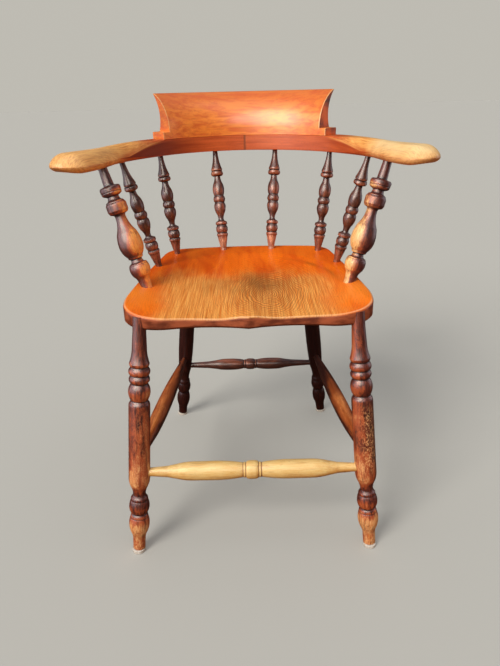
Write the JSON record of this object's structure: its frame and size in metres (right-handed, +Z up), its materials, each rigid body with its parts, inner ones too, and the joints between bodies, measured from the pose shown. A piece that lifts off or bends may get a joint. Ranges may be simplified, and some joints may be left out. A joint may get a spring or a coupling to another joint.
{
  "type": "captains chair",
  "caption": "Wooden armchair with turned legs and spindles, saddled seat, low curved arm bow and a raised crest rail.",
  "frame": {"origin": "on the floor, under the middle of the chair's bounding box", "axes": "+X towards the right as seen from the front, -Y the way a sitter faces, +Z up"},
  "size_m": [0.6436, 0.5425, 0.767],
  "materials": {
    "elm": "waxed, satin",
    "arm_wood": "waxed, satin to glossy",
    "dark_wood": "worn dark stain, satin",
    "pale_wood": "worn bare, satin",
    "dowels": "bare",
    "pads": "matt"
  },
  "bodies": {
    "root": {"seat": "elm", "leg_front_left": "dark_wood", "foot_pad_front_left": "pads", "leg_front_right": "dark_wood", "foot_pad_front_right": "pads", "leg_rear_left": "dark_wood", "foot_pad_rear_left": "pads", "leg_rear_right": "dark_wood", "foot_pad_rear_right": "pads", "stretcher_front": "pale_wood", "stretcher_rear": "dark_wood", "stretcher_left": "dark_wood", "stretcher_right": "dark_wood", "arm_post_left": "dark_wood", "spindle_side_left": "dark_wood", "spindle_corner_left": "dark_wood", "spindle_back_left": "dark_wood", "arm_left": "arm_wood", "arm_post_right": "dark_wood", "spindle_side_right": "dark_wood", "spindle_corner_right": "dark_wood", "spindle_back_right": "dark_wood", "arm_right": "arm_wood", "crest_rail": "arm_wood", "crest_dowels": "dowels", "arm_joint_dowel": "dowels"}
  },
  "joints": []
}
